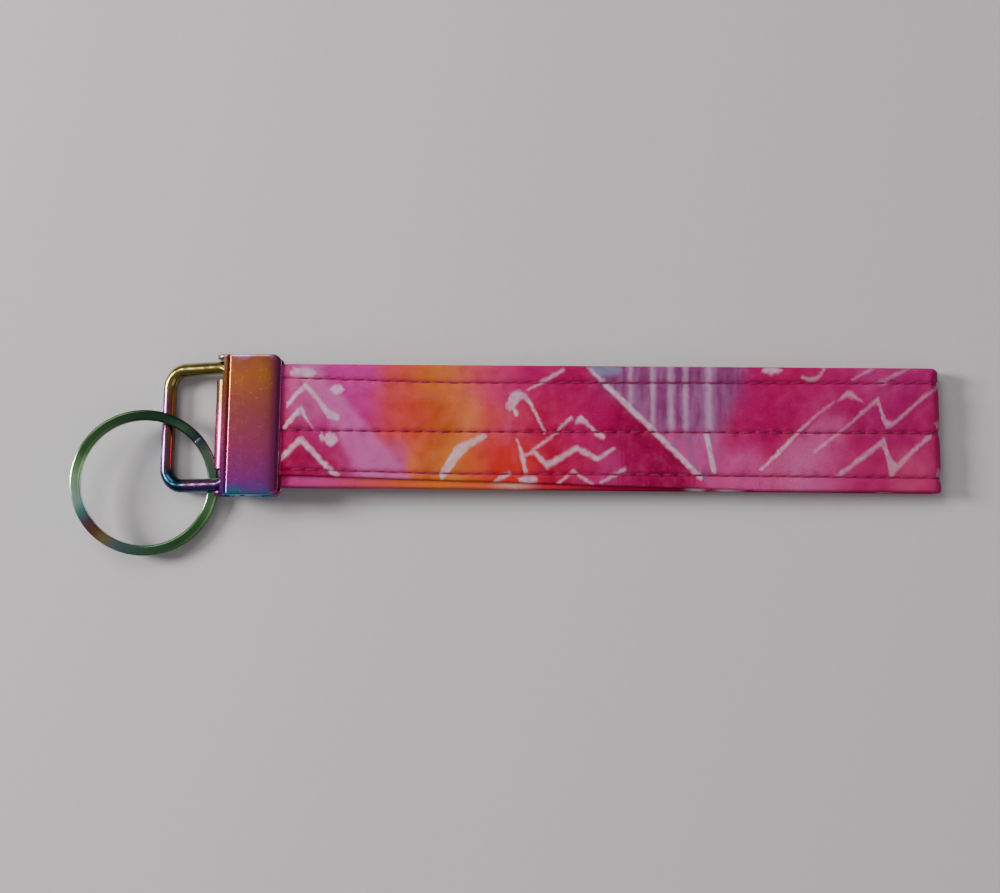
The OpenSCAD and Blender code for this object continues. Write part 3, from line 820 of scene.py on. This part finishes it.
def ring_colour(n, turn, around):
    """Green through teal and blue with a red and gold patch, by the angle around the ring."""
    drift = n.noise(n.join(n.math("MULTIPLY", turn, 9.0), around), 0.8, 3.0)
    t = n.math("FRACT", n.math("ADD", turn, n.math("MULTIPLY_ADD", drift, 0.05, -0.025)))
    base = n.ramp(t, [
        (0.0, rgb(110, 144, 120)), (0.07, rgb(132, 160, 134)), (0.11, rgb(64, 60, 88)),
        (0.15, rgb(82, 102, 84)),
        (0.2, rgb(54, 84, 60)), (0.27, rgb(60, 82, 58)), (0.33, rgb(78, 108, 68)), (0.42, rgb(96, 132, 84)),
        # the near-white greens half a turn round, on the ring's side towards the side lamp, are a painted
        # highlight
        (0.48, rgb(208, 252, 196)), (0.55, rgb(210, 255, 240)), (0.58, rgb(120, 190, 190)),
        (0.605, rgb(140, 80, 120)), (0.63, rgb(150, 90, 60)), (0.66, rgb(176, 156, 112)),
        (0.69, rgb(124, 146, 156)),
        (0.74, rgb(96, 132, 104)), (0.83, rgb(74, 110, 66)), (0.9, rgb(90, 128, 76)),
        (0.95, rgb(134, 176, 124)), (1.0, rgb(104, 138, 116))], "LINEAR")
    edge = n.math("ABSOLUTE", n.math("SUBTRACT", n.math("FRACT", n.math("MULTIPLY", around, 4.0)), 0.5))
    return n.mix(n.math("MULTIPLY", n.smooth(edge, 0.2, 0.5), 0.25), base, rgb(84, 132, 104))


def inward_normals(points):
    """Unit normals of a clockwise outline, which point into it."""
    points = np.asarray(points, float)
    ahead, behind = np.roll(points, -1, axis=0), np.roll(points, 1, axis=0)
    t = ahead - behind
    n = np.stack([t[:, 1], -t[:, 0]], axis=1)
    return n / np.maximum(np.linalg.norm(n, axis=1, keepdims=True), 1e-9)


def prism(name, outline, y_from, y_to):
    """A closed block from an (x, z) outline about the pivot, for cutting."""
    count = len(outline)
    points = [at(PIVOT_X + x, y, PIVOT_H + z) for y in (y_from, y_to) for x, z in outline]
    faces = [[i, (i + 1) % count, count + (i + 1) % count, count + i] for i in range(count)]
    faces += [list(range(count - 1, -1, -1)), list(range(count, 2 * count))]
    return new_object(name, points, faces, smooth=False)


def crimp_clamp():
    half, front = 2.6, -PIVOT_X                       # half the clamp's height and its nose
    end, corner, cavity = 13.5, 1.7, 1.55             # half its width, plan corners, half its mouth
    upper = [(front, 0.0), (front, 0.3)]
    quarter = np.linspace(0, math.pi / 2, 12)
    upper += [(front + 2 - 2 * math.cos(a), half - 2 + 2 * math.sin(a)) for a in quarter]
    upper += [(x, half - 0.3 * math.exp(-((x - 0.02) / 0.2) ** 2)) for x in np.linspace(-0.5, 0.6, 16)]
    upper += [(x, half + 0.03 * math.sin((x - 0.6) / 6.9 * math.pi)) for x in np.linspace(0.9, 7.2, 12)]
    upper += [(7.2 + 2.1 * math.sin(a), half - 0.62 * (1 - math.cos(a))) for a in np.linspace(.15, 1.35, 8)]
    upper += [(9.45, 1.98), (9.6, 1.86), (9.68, 1.74), (9.66, 1.62), (9.5, 1.555), (9.2, cavity)]
    upper += [(x, cavity) for x in (7.5, 5.5, 4.0, 2.75)]
    lower = [(x, -z) for x, z in reversed(upper[1:])]
    outline = np.array(upper + lower)
    normals = inward_normals(outline)
    rim = [(0.0, .22), (0.04, .1), (0.1, .04), (0.22, 0)]    # rounding of the ends: distance, inset
    grid = [(d - end, inset) for d, inset in rim] + [(y, 0) for y in np.linspace(-12.9, 12.9, 60)]
    grid += [(end - d, inset) for d, inset in reversed(rim)]
    rings, uv_at = [], []
    for y, inset in grid:
        ring, flat = [], []
        for (x, z), inward in zip(outline, normals):
            px, pz = x + inward[0] * inset, z + inward[1] * inset
            reach = end
            if px > 8.0:
                reach += math.sqrt(max(0.0, corner ** 2 - min(px - 8.0, 1.69) ** 2)) - corner
            py = y * reach / end
            px += 0.3 * float(smoothstep(px, 7.2, 9.0))
            ragged = smoothstep(px, 9.4, 9.8) * (0.07 * math.sin(py * 3.7) + 0.05 * math.sin(py * 9.1 + 1))
            ring.append(at(PIVOT_X + px - 0.357 * ragged, py, PIVOT_H + pz - 0.3 * ragged * np.sign(pz)))
            flat.append((px + PIVOT_X, py))
        rings.append(ring)
        uv_at += flat
    size, faces = len(outline), []
    for i in range(len(rings) - 1):
        for j in range(size):
            m = (j + 1) % size
            faces.append((i * size + j, i * size + m, (i + 1) * size + m, (i + 1) * size + j))
    faces.append(list(range(size - 1, -1, -1)))
    faces.append([(len(rings) - 1) * size + j for j in range(size)])
    uvs = [uv_at[index] for face in faces for index in face]
    obj = new_object("clamp_shell", [p for ring in rings for p in ring], faces, uvs)
    turn_outwards(obj)
    # pocket of the pivot bar and the notches that the legs swing in
    r, reach = 1.38, 6.6
    low, high = math.radians(16.88), math.radians(40)
    sweep = [(r * math.sin(low), -r * math.cos(low)),
             (r * math.sin(low) - reach * math.cos(low), -r * math.cos(low) - reach * math.sin(low)),
             (r * math.sin(high) - reach * math.cos(high), r * math.cos(high) + reach * math.sin(high)),
             (r * math.sin(high), r * math.cos(high))]
    pocket = [(r * math.cos(a), r * math.sin(a)) for a in np.linspace(0, 2 * math.pi, 49)[:-1]]
    cutters = [prism("cut_pocket", pocket, -14, 14)]
    for side in (-1, 1):
        cutters.append(prism("cut_notch", sweep, side * 10.7 - 2.2, side * 10.7 + 2.2))
    for cutter in cutters:
        turn_outwards(cutter)
        modifier = obj.modifiers.new("cut", "BOOLEAN")
        modifier.operation, modifier.object, modifier.solver = "DIFFERENCE", cutter, "EXACT"
    bpy.context.view_layer.update()
    cut = bpy.data.meshes.new_from_object(obj.evaluated_get(bpy.context.evaluated_depsgraph_get()))
    obj.modifiers.clear()
    obj.data = cut
    for cutter in cutters:
        bpy.data.objects.remove(cutter)
    # positions as the flat map, so that new faces have one too
    layer = cut.uv_layers.get("Flat") or cut.uv_layers.new(name="Flat")
    for loop in cut.loops:
        p = cut.vertices[loop.vertex_index].co
        layer.data[loop.index].uv = ((p.x - ORIGIN.x) / MM, (p.y - ORIGIN.y) / MM)
    cut.polygons.foreach_set("use_smooth", [True] * len(cut.polygons))
    sharpen(obj, 32)
    return obj


clamp = crimp_clamp()
clamp.data.materials.clear()
clamp.data.materials.append(metal("clamp_metal", clamp_colour, 0.24))
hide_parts("crimp_clamp")
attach(clamp, "clamp")


def wire_loop():
    wire_r, reach, leg, far, near = 1.3, 13.5, 11.35, 3.6, 2.2
    droop = math.asin((PIVOT_H - wire_r - 0.03) / reach)
    path = []

    def arc(cx, cy, start, r, steps):
        for a in np.linspace(math.radians(start), math.radians(start + 90), steps):
            path.append((cx + r * math.cos(a), cy + r * math.sin(a)))

    arc(-near, leg - near, 0, near, 14)
    path.extend((x, leg) for x in np.linspace(-near, far - reach, 24)[1:-1])
    arc(far - reach, leg - far, 90, far, 22)
    path.extend((-reach, y) for y in np.linspace(leg - far, far - leg, 40)[1:-1])
    arc(far - reach, far - leg, 180, far, 22)
    path.extend((x, -leg) for x in np.linspace(far - reach, -near, 24)[1:-1])
    arc(-near, near - leg, 270, near, 14)
    path.extend((0, y) for y in np.linspace(near - leg, leg - near, 40)[1:-1])
    path = np.array(path)
    ahead, behind = np.roll(path, -1, axis=0), np.roll(path, 1, axis=0)
    tangents = (ahead - behind) / np.linalg.norm(ahead - behind, axis=1, keepdims=True)
    lengths = np.concatenate([[0], np.cumsum(np.linalg.norm(ahead - path, axis=1))])
    tilt = Matrix.Rotation(-droop, 3, "Y")
    rings = []
    size = 40
    for k, (p, t) in enumerate(zip(path, tangents)):
        side = np.array([t[1], -t[0]])                # outwards, away from the loop's middle
        dent = 1 + 0.006 * math.sin(k * 0.9)
        ring = []
        for j in range(size):
            a = 2 * math.pi * j / size
            out = wire_r * dent * math.cos(a)
            q = Vector((p[0] + side[0] * out, p[1] + side[1] * out, wire_r * dent * math.sin(a)))
            q = tilt @ q
            ring.append(at(PIVOT_X + q.x, q.y, PIVOT_H + q.z))
        rings.append(ring)
    return swept("loop_wire", rings, lengths, np.arange(size + 1) / size, closed=True)


loop = wire_loop()
loop.data.materials.append(metal("loop_metal", loop_colour, 0.17))
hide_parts("wire_loop")
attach(loop, "wire_loop")


def split_ring():
    band, mid_r, turn_t, step = 2.0, 13.0, 1.0, 1.04
    slope, high_side = 0.18, math.radians(154.2)
    ramp_from, ramp_to = 41.0, 80.0
    centre = Vector((0.1 - 14.0, -10.9, 0.03 + turn_t + 0.02 + slope * 14.0))
    lean = (Matrix.Rotation(high_side, 3, "Z") @ Matrix.Rotation(-math.atan(slope), 3, "Y")
            @ Matrix.Rotation(-high_side, 3, "Z"))
    rounding, section = 0.46, []
    for cx, cy, start in ((1, 1, 0), (-1, 1, 90), (-1, -1, 180), (1, -1, 270)):
        for a in np.linspace(math.radians(start), math.radians(start + 90), 7):
            section.append((cx * (band / 2 - rounding) + rounding * math.cos(a),
                            cy * (turn_t / 2 - rounding) + rounding * math.sin(a)))
    section = np.array(section)
    wound = 720 - (ramp_to - ramp_from)
    angles = list(np.linspace(ramp_to, ramp_to + wound, 420))
    rings, turns = [], []
    for k, angle in enumerate(angles):
        from_end = min(k, len(angles) - 1 - k)
        shrink = (0.72, 0.92)[from_end] if from_end < 2 else 1.0
        t = float(smoothstep(angle - 360 - ramp_from, 0, ramp_to - ramp_from))
        height, a = step * (t - 0.5), math.radians(angle)
        ring = []
        for dr, dz in section * shrink:
            q = lean @ Vector(((mid_r + dr) * math.cos(a), (mid_r + dr) * math.sin(a), height + dz)) + centre
            ring.append(at(q.x, q.y, q.z))
        rings.append(ring)
        turns.append(angle / 360)
    return swept("ring_coil", rings, turns, np.arange(len(section) + 1) / len(section))


ring = split_ring()
ring.data.materials.append(metal("ring_metal", ring_colour, 0.2))
sharpen(ring, 50)
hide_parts("split_ring")
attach(ring, "split_ring")

for piece in [clamp, loop, ring] + [o for o in bpy.data.objects if o.name.startswith("strap_")]:
    turn_outwards(piece)


# ---------------------------------------------------------------- floor, camera and light
def floor_material():
    n = Nodes("floor_card")
    position = n.add("ShaderNodeTexCoord").outputs["Object"]
    grain = n.noise(position, 700.0, 3.0)
    n.set(Base_Color=n.mix(grain, rgb(195, 191, 193), rgb(200, 197, 199)), Roughness=0.85)
    n.bump(grain, 0.2, 0.02)
    return n.material


floor = new_object("floor", [(-9, -9, 0), (9, -9, 0), (9, 9, 0), (-9, 9, 0)], [(0, 1, 2, 3)], smooth=False)
floor.data.materials.append(floor_material())

camera = bpy.data.objects.new("camera", bpy.data.cameras.new("camera"))
bpy.context.scene.collection.objects.link(camera)
camera.data.sensor_width = 36
camera.data.lens = 52.15
camera.data.clip_start = 0.01
camera.matrix_world = Matrix.Translation(at(67.66, -42.56, 276.38))
for tilt, axis in ((8.138, "X"), (2.770, "Y"), (0.263, "Z")):      # degrees, looking down
    camera.matrix_world = camera.matrix_world @ Matrix.Rotation(math.radians(tilt), 4, axis)
bpy.context.scene.camera = camera


def area_light(name, place, target, size, power, colour):
    data = bpy.data.lights.new(name, "AREA")
    data.shape, data.size, data.size_y = "RECTANGLE", size[0], size[1]
    data.energy, data.color = power, colour
    light = bpy.data.objects.new(name, data)
    bpy.context.scene.collection.objects.link(light)
    light.location = place
    light.rotation_euler = (Vector(target) - Vector(place)).to_track_quat("-Z", "Y").to_euler()


area_light("key", (-0.35, 0.5, 0.7), (0, 0, 0), (0.45, 0.45), 2.8, (1.0, 0.985, 0.97))
area_light("side", (-0.85, 0.14, 0.42), (0, 0, 0), (0.26, 0.26), 12.0, (1.0, 0.985, 0.97))
area_light("fill", (0.55, -0.45, 0.8), (0, 0, 0), (0.8, 0.8), 1.2, (1.0, 0.97, 0.96))

world = bpy.data.worlds.new("studio")
bpy.context.scene.world = world
world.use_nodes = True
tree = world.node_tree
tree.nodes.clear()
output = tree.nodes.new("ShaderNodeOutputWorld")
background = tree.nodes.new("ShaderNodeBackground")
gradient = tree.nodes.new("ShaderNodeValToRGB")
split = tree.nodes.new("ShaderNodeSeparateXYZ")
direction = tree.nodes.new("ShaderNodeTexCoord")
tree.links.new(direction.outputs["Generated"], split.inputs[0])
tree.links.new(split.outputs[2], gradient.inputs[0])
gradient.color_ramp.elements[0].color = (0.32, 0.315, 0.32, 1)
gradient.color_ramp.elements[1].color = (0.75, 0.76, 0.78, 1)
tree.links.new(gradient.outputs[0], background.inputs[0])
tree.links.new(background.outputs[0], output.inputs[0])
background.inputs[1].default_value = 0.38
